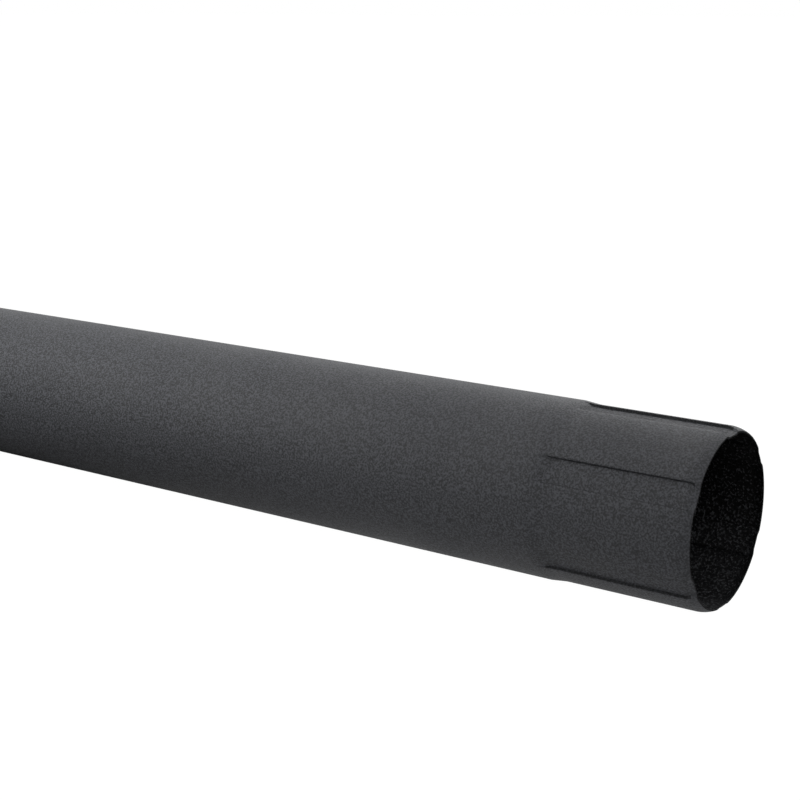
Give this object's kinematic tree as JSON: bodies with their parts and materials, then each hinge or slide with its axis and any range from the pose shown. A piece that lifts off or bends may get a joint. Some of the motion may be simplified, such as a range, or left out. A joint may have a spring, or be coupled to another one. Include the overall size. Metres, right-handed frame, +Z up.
{
  "type": "aluminium downpipe",
  "caption": "Straight round aluminium downpipe with a textured coat, one plain socket end and one drawn-in, crimped spigot end.",
  "frame": {"origin": "on the floor, under the middle of the pipe's length", "axes": "+X along the pipe towards the crimped spigot end, +Z up, the pipe lies on the floor and one crimp is on top"},
  "size_m": [1, 0.08, 0.0799],
  "materials": {
    "coated_aluminium": "fine textured anthracite coat, satin to matt"
  },
  "bodies": {
    "root": {"downpipe": "coated_aluminium"}
  },
  "joints": []
}
